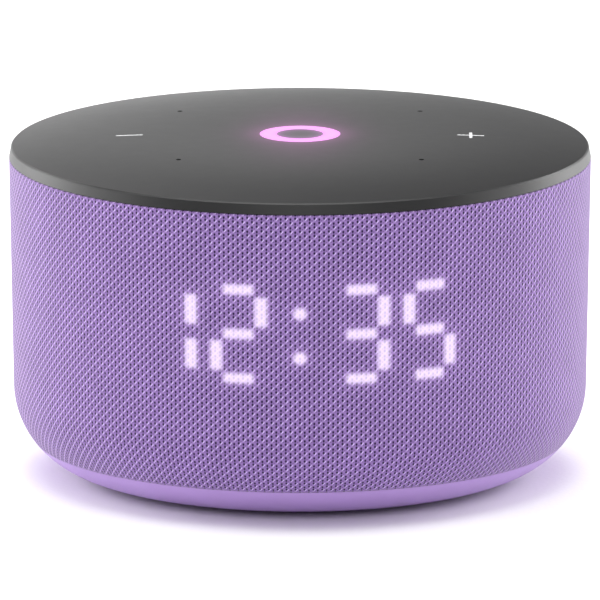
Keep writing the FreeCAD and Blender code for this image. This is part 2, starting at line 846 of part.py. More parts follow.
def box_lid():
    made = ring(box_radius, driver_hole_radius, box_top - lid_thickness, box_top)
    cutters = [screw_hole(p, box_top - lid_thickness - 1, box_top + 1) for p in diagonals(leg_circle)]
    cutters += [screw_hole(p, box_top - lid_thickness, box_top + 1) for p in driver_screw_places()]
    return made.cut(cutters)


# ---- Driver ----
def driver_screw_places():
    return [polar(flange_screw_circle, 90 * quarter + 22.5) for quarter in range(4)]


def driver_basket():
    """The steel frame: a flange, an open cone of four arms, and a floor with a ledge for the spider."""
    top = box_top + flange_thickness
    ledge = spider_height - spider_wall
    well = spider_rim_radius + 0.3
    wall = turned(
        [
            (basket_mouth_radius, top),
            (basket_mouth_radius, box_top - 1.0),
            (well, ledge + 0.8),
            (well, ledge),
            (basket_throat_radius, ledge),
            (basket_throat_radius, basket_floor + basket_wall),
            (gap_radius + 0.4, basket_floor + basket_wall),
            (gap_radius + 0.4, basket_floor),
            (basket_throat_radius + basket_wall, basket_floor),
            (basket_throat_radius + basket_wall, ledge - basket_wall),
            (well + basket_wall, ledge - basket_wall),
            (driver_hole_radius - 0.3, box_top - 1.2),
            (driver_hole_radius - 0.3, box_top),
            (flange_radius, box_top),
            (flange_radius, top),
        ]
    )
    windows = []
    for quarter in range(4):
        block = Part.makeBox(11, through, 2.6, Vector(-5.5, 0, spider_height + 1.4))
        block.rotate(Vector(), UP, 90 * quarter)
        windows.append(block)
    holes = [screw_hole(p, box_top - 1, top + 1) for p in driver_screw_places()]
    return wall.cut([*windows, *holes])


def driver_front_plate():
    return ring(magnet_radius - 0.4, gap_radius, magnet_top, basket_floor)


def driver_magnet():
    return ring(magnet_radius, gap_radius + 1.0, magnet_bottom, magnet_top)


def driver_yoke():
    plate = ring(magnet_radius - 0.2, 0, magnet_bottom - yoke_thickness, magnet_bottom)
    pole = ring(pole_radius, 0, magnet_bottom, basket_floor)
    return join(plate, pole)


def coil_former():
    """The paper tube that carries the winding and pushes the cone."""
    top = cone_neck_height + 0.4
    return ring(coil_inner_radius + former_wall, coil_inner_radius, basket_floor - 3.0, top)


def coil_winding():
    """The copper winding, in the magnet's gap."""
    return ring(coil_outer_radius, coil_inner_radius + former_wall, basket_floor - 2.8, basket_floor + 1.3)


def spider():
    """The corrugated ring that centres the coil."""
    inner, outer = coil_inner_radius + former_wall, spider_rim_radius
    flat = spider_lip
    waves = 3
    pitch = (outer - inner - 2 * flat) / (2 * waves)
    at = Vector(inner, 0, spider_height)
    edges = [Part.makeLine(at, at + RIGHT * flat)]
    at = at + RIGHT * flat
    for half in range(2 * waves):
        crest = at + RIGHT * (pitch / 2) + UP * (spider_wave if half % 2 == 0 else -spider_wave)
        end = at + RIGHT * pitch
        edges.append(Part.Arc(at, crest, end).toShape())
        at = end
    edges.append(Part.makeLine(at, at + RIGHT * flat))
    return turned_sheet(edges, spider_wall)


def cone_outline(wall):
    return (
        (cone_neck_radius, cone_neck_height),
        (cone_rim_radius, cone_rim_height),
        (cone_rim_radius, cone_rim_height - wall),
        (cone_neck_radius, cone_neck_height - wall * 1.3),
    )


def cone():
    return turned(cone_outline(cone_wall))


def roll(inner, width, lip, height, rise):
    """Edges of a round roll, width across and rise high, with a flat lip on each side to glue it down."""
    start = Vector(inner - lip, 0, height)
    low, high = Vector(inner, 0, height), Vector(inner + width, 0, height)
    crest = (low + high) * 0.5 + UP * rise
    end = high + RIGHT * lip
    return [Part.makeLine(start, low), Part.Arc(low, crest, high).toShape(), Part.makeLine(high, end)]


def surround():
    """The rubber roll between the cone and the basket, glued on top of both."""
    edges = roll(cone_rim_radius, roll_width, basket_lip, cone_rim_height + roll_wall, roll_rise)
    return turned_sheet(edges, roll_wall)


def dust_cap():
    fraction = (dust_cap_radius - cone_neck_radius) / (cone_rim_radius - cone_neck_radius)
    height = cone_neck_height + (cone_rim_height - cone_neck_height) * fraction
    wall = 0.35
    outer = cap_solid(dust_cap_radius, height, dust_cap_rise)
    inner = cap_solid(dust_cap_radius - wall, height, dust_cap_rise - wall)
    return outer.cut(inner)


def cap_solid(radius, height, rise):
    """The part of a ball above a height, radius wide there."""
    ball = (radius**2 + rise**2) / (2 * rise)
    whole = Part.makeSphere(ball, Vector(0, 0, height + rise - ball))
    return whole.common(slab(height, height + rise + 1))


def driver_screws():
    head_side = box_top + flange_thickness
    made = [screw(p, head_side, head_side - 3.2) for p in driver_screw_places()]
    return Part.makeCompound(made)


# ---- Passive radiator ----
def passive_frame():
    inner = passive_plate_radius + passive_roll_width
    return ring(passive_frame_radius, inner, box_bottom - passive_frame_thickness, box_bottom)


def passive_plate():
    return ring(passive_plate_radius, 0, box_bottom - passive_plate_thickness, box_bottom)


def passive_surround():
    """The rubber roll round the weighted plate, glued on top of it and of the frame, which bulges down."""
    glued = box_bottom + roll_wall
    edges = roll(passive_plate_radius, passive_roll_width, passive_lip, glued, -passive_roll_rise)
    return turned_sheet(edges, roll_wall)


# ---- Display ----
def bar_places():
    """Every bar of the four digits as (digit, bar, angle, height, width, tall)."""
    centres = [
        -digit_inner_angle - digit_pitch_angle,
        -digit_inner_angle,
        digit_inner_angle,
        digit_inner_angle + digit_pitch_angle,
    ]
    half, rise = digit_half_angle, digit_half_height
    offsets = {
        "a": (0, rise, bar_level),
        "b": (half, rise / 2, bar_upright),
        "c": (half, -rise / 2, bar_upright),
        "d": (0, -rise, bar_level),
        "e": (-half, -rise / 2, bar_upright),
        "f": (-half, rise / 2, bar_upright),
        "g": (0, 0, bar_level),
    }
    found = []
    for digit, centre in zip(digits_shown, centres):
        for bar, (turn, height, size) in offsets.items():
            lit = bar in BARS_OF[digit]
            found.append((lit, centre + turn, digit_middle + height, size))
    for side in (-1, 1):
        size = (2 * colon_radius, 2 * colon_radius)
        found.append((True, 0.0, digit_middle - 0.2 + side * colon_rise, size))
    return found


def bar_solid(angle, height, size, grow, inner, outer):
    wide, tall = size
    made = round_bar(wide + 2 * grow, tall + 2 * grow, outer - inner)
    return facing(made, outer, angle, height)


def display_mask():
    """The curved block of light wells that fills the grille's window, one well for each bar."""
    outer = body_solid(grille_inset)
    block = outer.cut(ring(mask_back_radius, 0, 0, 100))
    block = block.common(wedge(through, display_half_angle - fit_gap, display_bottom, display_top))
    inner, outer = mask_back_radius - 2, body_radius + 1
    wells = []
    for _, angle, height, size in bar_places():
        wells.append(bar_solid(angle, height, size, lens_gap, inner, outer))
    return block.cut(wells)


def lenses(lit):
    """The light pipes of the bars that are lit, or of those that are dark."""
    outer = body_solid(grille_inset)
    inner = mask_back_radius + led_size[2] + 0.3
    made = []
    for shown, angle, height, size in bar_places():
        if shown == lit:
            made.append(bar_solid(angle, height, size, 0, inner, body_radius + 1).common(outer))
    return Part.makeCompound(made)


def lit_bars():
    return lenses(True)


def dark_bars():
    return lenses(False)


def curved_plate(outer, inner, half_angle, bottom, top):
    return ring(outer, inner, bottom, top).common(wedge(through, half_angle, bottom, top))


def display_board():
    half_angle = display_half_angle - 1
    bottom, top = display_bottom + 0.3, display_top - 0.3
    return curved_plate(mask_back_radius, holder_radius, half_angle, bottom, top)


def display_leds():
    wide, _, tall = led_size
    made = []
    for _, angle, height, size in bar_places():
        along = min(max(size) - 0.4, wide)
        block = Part.makeBox(along, tall, 0.8, Vector(-along / 2, 0, -0.4))
        made.append(facing(block, mask_back_radius + tall, angle, height))
    return Part.makeCompound(made)


def display_holder():
    """The curved backing plate that clamps the display into the grille, open where its ribbon leaves."""
    outer = holder_radius
    made = curved_plate(outer, outer - holder_wall, rail_angle(), display_bottom, display_top)
    wide = display_ribbon_width + 4
    window = Part.makeBox(wide, through, display_top, Vector(-wide / 2, -through, display_bottom + 6))
    return made.cut(window)


def rail_angle():
    return display_half_angle + display_rail_angle


# ---- Ribbons and wires ----
def display_ribbon():
    """From the back of the display up to the main board's underside, through the chassis."""
    near = holder_radius - 0.2
    inward = box_radius + 2.0
    start = Vector(0, -near, display_bottom + 10)
    high = board_bottom - ribbon_depth
    points = [start, Vector(0, -inward, start.z), Vector(0, -inward, high), Vector(0, -ribbon_end, high)]
    return ribbon(points, display_ribbon_width)


def io_ribbon():
    """From the inlet board up the back of the box to the main board's underside."""
    top = io_board_bottom + board_thickness
    start = Vector(0, io_board_back - io_socket_inset, top + 4.8)
    outward = box_radius + 3.0
    high = board_bottom - ribbon_depth
    points = [start, Vector(0, outward, start.z), Vector(0, outward, high), Vector(0, ribbon_end, high)]
    return ribbon(points, io_ribbon_width)


def ribbon_sockets():
    """The sockets of the ribbons' ends: two under the main board and one on the inlet board."""
    deep, tall = 4.0, 1.6
    made = []
    for side, wide in ((-1, display_ribbon_width), (1, io_ribbon_width)):
        near = -ribbon_end if side < 0 else ribbon_end - deep
        made.append(Part.makeBox(wide + 2, deep, tall, Vector(-wide / 2 - 1, near, board_bottom - tall)))
    wide, near = io_ribbon_width + 2, io_board_back - io_socket_inset - deep
    corner = Vector(-wide / 2, near, io_board_bottom + board_thickness)
    made.append(Part.makeBox(wide, deep, 5.6, corner))
    return Part.makeCompound(made)


def speaker_wires():
    """The driver's two leads, from its terminals up through the chassis to the main board."""
    low = box_top + flange_thickness + 0.8
    made = []
    for side in (-1, 1):
        across = side * 1.6
        points = [
            Vector(flange_radius - 4.5, across, low),
            Vector(wire_exit, across, low),
            Vector(wire_exit, across, board_bottom),
        ]
        path = rounded_path(points, wire_bend)
        section = Part.Wire(Part.makeCircle(wire_radius, points[0], RIGHT))
        made.append(path.makePipeShell([section], True, True))
    return Part.makeCompound(made)


def driver_terminal():
    """The small board on the basket that the leads are soldered to."""
    bottom = box_top + flange_thickness
    return Part.makeBox(3.6, 7.0, 0.2, Vector(flange_radius - 5.6, -3.5, bottom))


PARTS = (
    foot_ring, base_cup, base_screws, grille_shell, fabric_sleeve, port_panel, mute_button,
    mute_plunger, mute_switch, io_board, io_components, usb_receptacle, usb_tongue, top_panel,
    light_ring, ring_centre, minus_mark, plus_mark, main_board, microphones, mic_gaskets, ring_leds,
    light_well, touch_springs, shield_can, processor_chips, board_screws, chassis, chassis_screws,
    box_tub, box_seal, box_lid, driver_basket, driver_front_plate, driver_magnet, driver_yoke,
    coil_former, coil_winding, spider, cone, surround, dust_cap, driver_screws, driver_terminal,
    passive_frame, passive_plate, passive_surround, display_mask, lit_bars, dark_bars, display_board,
    display_leds, display_holder, display_ribbon, io_ribbon, ribbon_sockets, speaker_wires,
)


def main():
    os.makedirs("parts", exist_ok=True)
    for make in PARTS:
        shape = make()
        volume = sum(s.Volume for s in shape.Solids)
        print(f"{make.__name__}: {len(shape.Solids)} solids, {volume:.1f} mm3, valid {shape.isValid()}")
        shape.exportStep(f"parts/{make.__name__}.step")


main()
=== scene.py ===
# %% [markdown]
# # A round speaker with a clock behind its cloth
#
# This lesson dresses a finished CAD model. The CAD gives every piece its exact place, in metres, with +Z up
# and the clock looking along -Y. Blender adds what CAD can't say: the knit of the sleeve, the light that
# comes through it, the grain of moulded plastic, and the studio the speaker is shown in.
#
# The first cell loads the CAD pieces.

# %% Load the CAD pieces
import json
import math

import bmesh
import bpy
import numpy as np
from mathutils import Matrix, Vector

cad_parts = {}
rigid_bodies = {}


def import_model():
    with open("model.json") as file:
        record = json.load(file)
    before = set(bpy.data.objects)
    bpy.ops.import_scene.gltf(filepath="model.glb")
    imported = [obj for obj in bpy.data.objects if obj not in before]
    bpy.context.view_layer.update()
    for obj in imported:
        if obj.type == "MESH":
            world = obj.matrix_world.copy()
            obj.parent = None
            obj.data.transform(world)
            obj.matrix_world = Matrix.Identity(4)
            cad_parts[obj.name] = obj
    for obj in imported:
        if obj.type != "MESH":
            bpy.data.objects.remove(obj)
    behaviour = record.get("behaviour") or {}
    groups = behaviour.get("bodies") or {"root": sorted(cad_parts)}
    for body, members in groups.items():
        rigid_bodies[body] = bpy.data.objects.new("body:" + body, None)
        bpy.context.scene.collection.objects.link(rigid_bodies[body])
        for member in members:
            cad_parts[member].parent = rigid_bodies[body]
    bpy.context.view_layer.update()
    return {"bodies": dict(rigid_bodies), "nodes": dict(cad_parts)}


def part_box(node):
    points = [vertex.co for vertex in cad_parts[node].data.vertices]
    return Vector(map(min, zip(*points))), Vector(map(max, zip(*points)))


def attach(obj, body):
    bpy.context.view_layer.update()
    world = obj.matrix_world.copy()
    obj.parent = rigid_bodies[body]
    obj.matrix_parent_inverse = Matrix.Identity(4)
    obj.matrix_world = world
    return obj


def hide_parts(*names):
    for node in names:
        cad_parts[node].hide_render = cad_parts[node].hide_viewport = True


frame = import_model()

cad = frame["nodes"]
scene = bpy.context.scene
MM = 0.001
print("pieces from the CAD:", len(cad))

# %% [markdown]
# ## Start from an empty room
#
# A new Blender file has a cube, a lamp and a camera in it. They aren't ours, so they go first. Only objects
# that the CAD didn't bring are removed.

# %% Clear the room
kept = set(cad.values()) | set(frame["bodies"].values())
for thing in list(bpy.data.objects):
    if thing not in kept:
        bpy.data.objects.remove(thing, do_unlink=True)

# %% [markdown]
# ## The camera
#
# The speaker is seen from the front and a little above, from far away through a very long lens. That flattens
# it: the round top is a narrow ellipse and the sides hardly converge. Moving the camera closer with a short
# lens would frame it the same way but would bulge the front, so the distance is set first and the lens
# follows.

# %% Place the camera
camera_distance = 3.815
camera_height_angle = math.radians(12.06)
look_at = Vector((0, 0, 34.47 * MM))

lens_data = bpy.data.cameras.new("long_lens")
lens_data.lens = 1157.5
lens_data.sensor_width = 36
lens_data.clip_start = 0.1
lens_data.clip_end = 100
camera = bpy.data.objects.new("camera", lens_data)
scene.collection.objects.link(camera)
camera_offset = Vector((0, -math.cos(camera_height_angle), math.sin(camera_height_angle)))
camera.location = look_at + camera_offset * camera_distance
camera.rotation_euler = (math.pi / 2 - camera_height_angle, 0, 0)
scene.camera = camera
print("camera stands", round(camera_distance, 2), "m away")

# %% [markdown]
# ## The floor and the light
#
# A product like this is shown on a white sweep. A big pale floor does that job, and it also lights the
# rounded underside from below, as a white table would.
#
# The light is soft and comes from large panels. One stands on each side and a little behind, so the satin rim
# picks them up at its edges and stays dark in front, which shows how round it is. A weaker panel on each side
# makes that change gradual. Low panels at the back are mirrored in the domed top at a shallow angle and give
# it its pale far edge. One overhead and one in front keep the cloth bright. Area lamps are used because their
# size sets how soft the shadows are.

# %% Lay the floor
floor_size = 12.0


def plain_mesh(name, corners, faces):
    mesh = bpy.data.meshes.new(name)
    mesh.from_pydata(corners, [], faces)
    made = bpy.data.objects.new(name, mesh)
    scene.collection.objects.link(made)
    return made


reach = floor_size / 2
floor_corners = [(-reach, -reach, 0), (reach, -reach, 0), (reach, reach, 0), (-reach, reach, 0)]
floor = plain_mesh("floor", floor_corners, [(0, 1, 2, 3)])
print("floor is", floor_size, "m across")

# %% Hang the soft lamps


def soft_lamp(name, place, size, power):
    """A panel of light that faces the speaker, in metres and watts."""
    data = bpy.data.lights.new(name, "AREA")
    data.shape = "RECTANGLE"
    data.size, data.size_y = size
    data.energy = power
    lamp = bpy.data.objects.new(name, data)
    lamp.location = place
    aim = look_at - Vector(place)
    lamp.rotation_euler = aim.to_track_quat("-Z", "Y").to_euler()
    scene.collection.objects.link(lamp)


soft_lamp("left_panel", (-1.8, 1.0, 0.6), (1.4, 1.4), 40)
soft_lamp("left_front_panel", (-1.95, -0.2, 0.6), (1.3, 1.4), 13)
soft_lamp("right_panel", (1.7, 1.15, 0.6), (1.4, 1.4), 44)
soft_lamp("right_front_panel", (1.95, -0.1, 0.6), (1.3, 1.4), 11)
soft_lamp("low_back_left_panel", (-0.9, 2.4, 0.35), (2.0, 0.5), 4.6)
soft_lamp("low_back_panel", (0.4, 2.6, 0.35), (2.4, 0.5), 2.0)
soft_lamp("high_back_left_panel", (-0.9, 2.2, 1.4), (1.6, 1.0), 5)
soft_lamp("front_fill", (0, -2.4, 1.3), (1.8, 1.2), 20)
soft_lamp("overhead", (-0.1, 0.1, 2.2), (2.0, 2.0), 57)

air_strength = 0.14
world = bpy.data.worlds.new("studio_air")
scene.world = world
world.use_nodes = True
background = world.node_tree.nodes["Background"]
background.inputs["Color"].default_value = (1, 1, 1, 1)
background.inputs["Strength"].default_value = air_strength
scene.view_settings.view_transform = "Standard"

# %% [markdown]
# ## Tools for making finishes
#
# Every finish below is a small network of nodes. Helpers keep the cells short: one starts a material, one
# adds a node and joins its inputs, one adds a Math node, and the rest add the few groups that many finishes
# share. A value that is the same all over the surface is typed straight into the shader's own socket, where
# other programs can read it, and only what varies from place to place is worked out by nodes.

# %% Write the helpers


def start_finish(name, colour, roughness, **sockets):
    """A new material with one shader. Returns the material, its nodes and the shader."""
    made = bpy.data.materials.new(name)
    made.use_nodes = True
    tree = made.node_tree
    shader = tree.nodes["Principled BSDF"]
    shader.inputs["Base Color"].default_value = (*colour, 1)
    shader.inputs["Roughness"].default_value = roughness
    for socket, value in sockets.items():
        shader.inputs[socket.replace("_", " ")].default_value = value
    return made, tree, shader


def put(tree, socket, value):
    """Gives a socket a number, a colour or another node's output."""
    if isinstance(value, bpy.types.NodeSocket):
        tree.links.new(value, socket)
    else:
        socket.default_value = value


def node(tree, kind, inputs=(), **settings):
    """A node of a kind, with its settings and its inputs, given as (socket, value) pairs."""
    made = tree.nodes.new(kind)
    for name, value in settings.items():
        setattr(made, name, value)
    for socket, value in dict(inputs).items():
        put(tree, made.inputs[socket], value)
    return made


def calc(tree, operation, *values):
    """A Math node's answer."""
    made = node(tree, "ShaderNodeMath", operation=operation)
    for slot, value in enumerate(values):
        put(tree, made.inputs[slot], value)
    return made.outputs[0]


def place_xyz(tree):
    """A point's place on the object, in metres, as three sockets."""
    where = node(tree, "ShaderNodeTexCoord").outputs["Object"]
    parts = node(tree, "ShaderNodeSeparateXYZ", {"Vector": where})
    return parts.outputs


def from_axis(tree, x_at, y_at):
    """A point's distance from the Z axis, in metres."""
    x_square = calc(tree, "MULTIPLY", x_at, x_at)
    y_square = calc(tree, "MULTIPLY", y_at, y_at)
    return calc(tree, "SQRT", calc(tree, "ADD", x_square, y_square))


def noise(tree, scale, detail=3.0, roughness=0.5, stretch=None):
    """Smooth random cloudiness from 0 to 1, whose lumps are about 1 / scale metres across."""
    where = node(tree, "ShaderNodeTexCoord").outputs["Object"]
    if stretch:
        where = node(tree, "ShaderNodeMapping", {"Vector": where, "Scale": stretch}).outputs[0]
    inputs = {"Vector": where, "Scale": scale, "Detail": detail, "Roughness": roughness}
    return node(tree, "ShaderNodeTexNoise", inputs).outputs["Fac"]


def between(tree, fac, low, high, out_low=0.0, out_high=1.0):
    """Stretches a value from one range to another and holds it inside."""
    inputs = {"Value": fac, "From Min": low, "From Max": high, "To Min": out_low, "To Max": out_high}
    return node(tree, "ShaderNodeMapRange", inputs).outputs[0]


def mix_colour(tree, fac, first, second):
    """The first colour where fac is 0, the second where it is 1."""
    made = node(tree, "ShaderNodeMix", data_type="RGBA")
    put(tree, made.inputs[0], fac)
    for slot, value in ((6, first), (7, second)):
        put(tree, made.inputs[slot], (*value, 1) if isinstance(value, tuple) else value)
    return made.outputs[2]


def scaled(tree, colour, amount):
    """A colour times an amount that varies from place to place."""
    made = node(tree, "ShaderNodeVectorMath", {0: colour}, operation="SCALE")
    put(tree, made.inputs["Scale"], amount)
    return made.outputs[0]


def bump(tree, shader, height, distance, strength=1.0):
    """Tilts the light as if the surface rose and fell by a distance in metres."""
    made = node(tree, "ShaderNodeBump", {"Height": height, "Distance": distance, "Strength": strength})
    put(tree, shader.inputs["Normal"], made.outputs[0])


def shade(colour, amount):
    """A typed colour made darker or lighter."""
    return tuple(min(1.0, c * amount) for c in colour)


print("helpers ready")

# %% [markdown]
# ## The floor's paint
#
# Even a white sweep isn't one flat white: it has a faint mottle from rolled paint. Noise a hand's breadth
# across moves the colour by a hair, and finer noise gives it a little tooth.

# %% Paint the floor
floor_paint, tree, shader = start_finish("floor_paint", (0.93, 0.93, 0.93), 0.75, Specular_IOR_Level=0.1)
mottle = noise(tree, 6.0)
dull_paint = (0.925, 0.925, 0.925)
clean_paint = (0.935, 0.935, 0.935)
paint_tooth = 0.05 * MM
put(tree, shader.inputs["Base Color"], mix_colour(tree, mottle, dull_paint, clean_paint))
bump(tree, shader, noise(tree, 900.0), paint_tooth)
floor.data.materials.append(floor_paint)
print("floor painted")

# %% [markdown]
# ## Measure the sleeve's outline
#
# The sleeve is knitted as a tube and pulled over the body, so its shape is the body's outline turned round Z.
# The CAD sleeve has that outline already. Shooting rays at it from the side, one for each height, measures
# its radius without repeating any CAD number, so the cloth made here always fits.
#
# The knit is laid out by distance along the cloth and not by height, because the cloth keeps its stitch size
# as it turns under at the bottom.

# %% Shoot rays at the CAD sleeve
cad_sleeve = cad["fabric_sleeve"]
sleeve_low, sleeve_high = (Vector(c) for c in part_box("fabric_sleeve"))
sleeve_radius = sleeve_high.x


def outline_radius(height):
    hit, place, _, _ = cad_sleeve.ray_cast(Vector((1.0, 0.0, height)), Vector((-1.0, 0.0, 0.0)))
    return place.x if hit else sleeve_radius


ray_count = 600
ray_inset = 0.02 * MM
heights = np.linspace(sleeve_low.z + ray_inset, sleeve_high.z - ray_inset, ray_count)
radii = np.array([outline_radius(h) for h in heights])
steps_along = np.hypot(np.diff(heights), np.diff(radii))
cloth_length = np.concatenate([[0], np.cumsum(steps_along)])
print("cloth from bottom to top:", round(cloth_length[-1] / MM, 1), "mm")

# %% [markdown]
# ## The knit's repeat
#
# Up close the sleeve is a double knit. Each column of stitches has pairs of small open holes. The next
# column's pairs sit half a repeat higher, so the raised yarns that pass between the pairs line up into fine
# diagonals, which the material below lightens with a painted highlight.
#
# Three numbers describe it: the width of a column, the height of a repeat, and how far up a repeat the raised
# diagonal yarn lies. The count of columns round the body has to be even, or the half step wouldn't meet itself
# at the back.

# %% Count the stitches
column_width = 0.938 * MM
repeat_height = 1.74 * MM
yarn_phase = 0.76
column_count = 2 * round(math.pi * sleeve_radius / column_width)
points_per_column = 2
points_per_repeat = 4
repeats = cloth_length[-1] / repeat_height
row_count = round(repeats * points_per_repeat)
print("columns round the body:", column_count, " repeats up it:", round(repeats, 1))

# %% [markdown]
# ## Make the sleeve's mesh
#
# The sleeve could be a smooth tube with everything in its material, but then its edge would be razor
# straight. Here it is a grid fine enough for each hole and yarn to have a point of its own. The holes are
# moved in by a twentieth of a millimetre and the yarns out by a fifth of that. The material adds what is
# finer than the grid.

# %% Build the grid of stitches
around = column_count * points_per_column
columns_at = np.arange(around) / points_per_column
rows_at = np.linspace(0, cloth_length[-1], row_count + 1)
row_height = np.interp(rows_at, cloth_length, heights)
row_radius = np.interp(rows_at, cloth_length, radii)
relief_depth = 0.05 * MM
yarn_rise = 0.22
hole_fall = 1 - yarn_rise
fade_width = 1.2 * MM


def knit_relief(column, repeat):
    """How far the yarn stands out: -1 in a hole and yarn_rise on a diagonal yarn."""
    diagonal = np.cos(2 * np.pi * (repeat - 0.5 * column - yarn_phase))
    on_column = 0.5 + 0.5 * np.cos(2 * np.pi * column)
    return yarn_rise * diagonal - hole_fall * on_column * (0.5 - 0.5 * diagonal)


turn = columns_at / column_count * 2 * np.pi
grid_column, grid_along = np.meshgrid(columns_at, rows_at)
relief = knit_relief(grid_column, grid_along / repeat_height) * relief_depth
from_edge = np.minimum(grid_along, cloth_length[-1] - grid_along)
edge_fade = np.minimum(1, from_edge / fade_width)
grid_radius = row_radius[:, None] + relief * edge_fade
grid_x = grid_radius * np.sin(turn)[None, :]
grid_y = -grid_radius * np.cos(turn)[None, :]
grid_z = np.repeat(row_height[:, None], around, axis=1)
points = np.stack([grid_x, grid_y, grid_z], axis=-1).reshape(-1, 3)
first = np.arange(row_count * around)
row_start = first // around * around
next_column = row_start + (first - row_start + 1) % around
quads = np.stack([first, next_column, next_column + around, first + around], axis=-1)
sleeve_mesh = bpy.data.meshes.new("knit_sleeve")
sleeve_mesh.from_pydata(points.tolist(), [], quads.tolist())
print("sleeve grid:", len(points), "points")

# %% [markdown]
# ## Cut the opening at the back
#
# At the back the cloth stops round the inlet panel. The hole in the real sleeve is die-cut and its edge is
# folded under. A boolean on a mesh this fine is slow, so the faces inside the opening are dropped, and the
# ragged edge that is left is pulled on to the opening's exact outline. The outline comes from the panel's own
# CAD box.

# %% Trim the sleeve round the inlet panel
panel_low, panel_high = (Vector(c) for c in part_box("port_panel"))
opening_gap = 0.25 * MM
panel_corner = 4.0 * MM
snap_reach = 0.8 * MM
hem_height = 0.1 * MM
opening_half = panel_high.x + opening_gap
opening_top = panel_high.z + opening_gap
opening_corner = panel_corner + opening_gap


def outside_opening(point):
    """Distance from the opening's edge, negative inside it, and the way out in X and Z."""
    if point.y < 0:
        return 1.0, Vector((0, 0, 1))
    side = 1 if point.x > 0 else -1
    across = abs(point.x) - (opening_half - opening_corner)
    above = point.z - (opening_top - opening_corner)
    if across > 0 and above > 0:
        distance = math.hypot(across, above)
        return distance - opening_corner, Vector((side * across / distance, 0, above / distance))
    if across > above:
        return across - opening_corner, Vector((side, 0, 0))
    return above - opening_corner, Vector((0, 0, 1))


knit = bmesh.new()
knit.from_mesh(sleeve_mesh)
inside = [f for f in knit.faces if outside_opening(f.calc_center_median())[0] < 0]
bmesh.ops.delete(knit, geom=inside, context="FACES")
for vert in [v for v in knit.verts if v.is_boundary]:
    distance, way_out = outside_opening(vert.co)
    if abs(distance) < snap_reach and vert.co.z > sleeve_low.z + hem_height:
        old_radius = vert.co.to_2d().length
        vert.co -= way_out * distance
        vert.co.y = math.sqrt(max(old_radius**2 - vert.co.x**2, 0))
print("faces trimmed away:", len(inside))

# %% [markdown]
# ## Turn the edges in
#
# Cloth has thickness, and it is seen at an edge. Every open edge is drawn out into a new ring of faces that
# goes straight in towards the body. It costs little and turns a paper-thin sheet into cloth.

# %% Give the edges their thickness
cloth_thickness = 0.6 * MM
rims = [e for e in knit.edges if e.is_boundary]
drawn = bmesh.ops.extrude_edge_only(knit, edges=rims)["geom"]
for vert in [v for v in drawn if isinstance(v, bmesh.types.BMVert)]:
    inward = Vector((-vert.co.x, -vert.co.y, 0)).normalized()
    vert.co += inward * cloth_thickness
bmesh.ops.recalc_face_normals(knit, faces=knit.faces)
knit.to_mesh(sleeve_mesh)
knit.free()
sleeve_mesh.shade_smooth()
sleeve = bpy.data.objects.new("knit_sleeve", sleeve_mesh)
scene.collection.objects.link(sleeve)
print("sleeve faces:", len(sleeve_mesh.polygons))

# %% [markdown]
# ## Light through the cloth
#
# The clock sits behind the sleeve, and each bar's light spreads a little in the yarn before it comes out. To
# know how much light reaches a point of the cloth, it is enough to know how far that point is from the edge
# of the nearest lit bar behind it, counted negative inside the bar. A bar with round ends is all the points
# at one distance from a short middle line, and the distance from such a line is easy to work out.
#
# The CAD keeps all lit bars in one piece. Walking along the edges from corner to corner takes it apart, but
# the imported mesh doesn't share its corners where two faces meet at a sharp edge. So what comes out is
# patches, a few for each bar, and not whole bars. Each patch is given a middle line of its own, as if it were
# a bar, and together they cover the bar. Merging the corners first would give one line for each bar and
# rounder ends.
#
# The body tapers, so bars and cloth are first laid on one cylinder, or the upper bars would count as nearer
# than the lower ones.

# %% Find a middle line for each patch of the lit bars
bars = cad["lit_bars"]
lay_radius = max(math.hypot(v.co.x, v.co.y) for v in bars.data.vertices)


def laid_out(x, y, z):
    """A point's place on the unrolled cylinder: the way round and the height, in millimetres."""
    return lay_radius * math.atan2(x, -y) / MM, z / MM


def joined_patches(mesh):
    """The corners that edges join, laid out, as one list per patch."""
    loose = bmesh.new()
    loose.from_mesh(mesh)
    waiting = set(loose.verts)
    found = []
    while waiting:
        reached = [waiting.pop()]
        for vert in reached:
            for edge in vert.link_edges:
                other = edge.other_vert(vert)
                if other in waiting:
                    waiting.remove(other)
                    reached.append(other)
        found.append(np.array([laid_out(*v.co) for v in reached]))
    loose.free()
    return found


patch_lines = []
for corners in joined_patches(bars.data):
    low, high = corners.min(axis=0), corners.max(axis=0)
    half_width = (high - low).min() / 2
    patch_lines.append((low + half_width, high - half_width, half_width))
print("patches of the lit bars and dots:", len(patch_lines))

# %% Store the distance on the cloth
far = 9.0
glow_distance = sleeve_mesh.attributes.new("bar_distance", "FLOAT", "POINT")
course = sleeve_mesh.attributes.new("course", "FLOAT", "POINT")
coordinates = np.zeros(len(sleeve_mesh.vertices) * 3)
sleeve_mesh.vertices.foreach_get("co", coordinates)
coordinates = coordinates.reshape(-1, 3)
way_round = lay_radius * np.arctan2(coordinates[:, 0], -coordinates[:, 1]) / MM
laid_points = np.stack([way_round, coordinates[:, 2] / MM], axis=-1)
distances = np.full(len(coordinates), far)
for line_start, line_end, half_width in patch_lines:
    on_line = np.clip(laid_points, line_start, line_end)
    gap = np.linalg.norm(laid_points - on_line, axis=1) - half_width
    distances = np.minimum(distances, gap)
glow_distance.data.foreach_set("value", distances.astype(np.float32))
course_values = np.interp(coordinates[:, 2], heights, cloth_length) / repeat_height
course.data.foreach_set("value", course_values.astype(np.float32))
print("points in front of a bar:", int((distances < 0).sum()))
